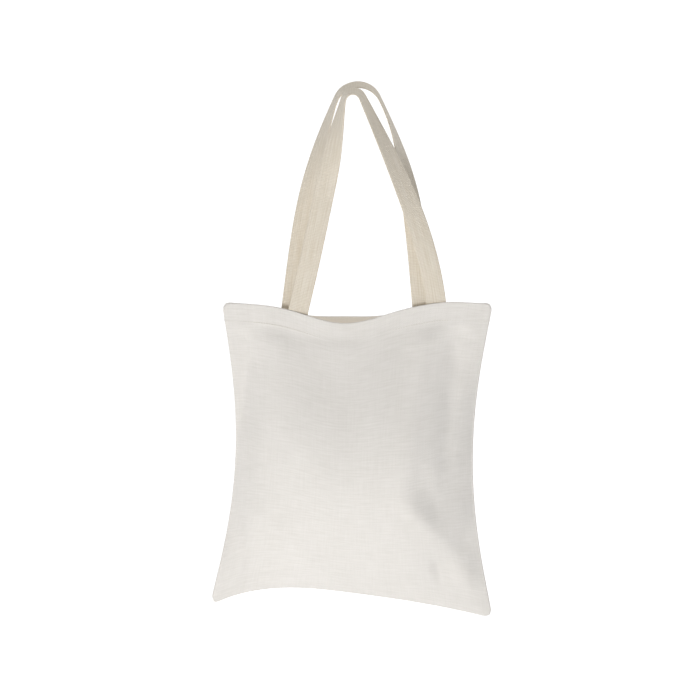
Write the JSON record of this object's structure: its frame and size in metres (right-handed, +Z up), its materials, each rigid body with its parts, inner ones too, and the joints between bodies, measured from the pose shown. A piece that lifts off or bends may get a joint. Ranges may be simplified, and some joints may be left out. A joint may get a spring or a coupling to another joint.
{
  "type": "canvas tote bag",
  "caption": "Open-topped canvas tote bag with two long webbing handles, sewn from a front and a back panel and hanging open from a hook.",
  "frame": {"origin": "the hanging point: the middle of the gap between the two handles, level with the underside of both crowns, where a hook or peg carries the bag", "axes": "+Z up, +X across the bag to the right seen from the front, -Y out of the front of the bag"},
  "size_m": [0.357, 0.1146, 0.6971],
  "materials": {
    "canvas": "matt plain-weave canvas with linen-like slubs, natural white",
    "webbing": "matt cotton webbing, natural cream, fine ribbed weave",
    "thread": "matt spun sewing thread, natural white"
  },
  "bodies": {
    "bag": {"front_panel": "canvas", "back_panel": "canvas", "front_hem": "canvas", "back_hem": "canvas", "left_seam": "canvas", "right_seam": "canvas", "bottom_seam": "canvas", "front_left_handle_end": "webbing", "front_right_handle_end": "webbing", "back_left_handle_end": "webbing", "back_right_handle_end": "webbing", "left_seam_stitching": "thread", "right_seam_stitching": "thread", "bottom_seam_stitching": "thread", "front_hem_stitching": "thread", "back_hem_stitching": "thread", "front_left_box_stitching": "thread", "front_right_box_stitching": "thread", "back_left_box_stitching": "thread", "back_right_box_stitching": "thread", "left_overlock": "thread", "right_overlock": "thread", "bottom_overlock": "thread"},
    "front_handle": {"front_handle": "webbing"},
    "back_handle": {"back_handle": "webbing"}
  },
  "joints": [
    {"name": "front_handle_swing", "type": "hinge", "parent": "bag", "child": "front_handle", "pos_m": [0.024, -0.0145, -0.283], "axis": [1, 0, 0], "range_deg": [0, 158]},
    {"name": "back_handle_swing", "type": "hinge", "parent": "bag", "child": "back_handle", "pos_m": [0.01125, 0.0145, -0.283], "axis": [-1, 0, 0], "range_deg": [0, 158]}
  ]
}
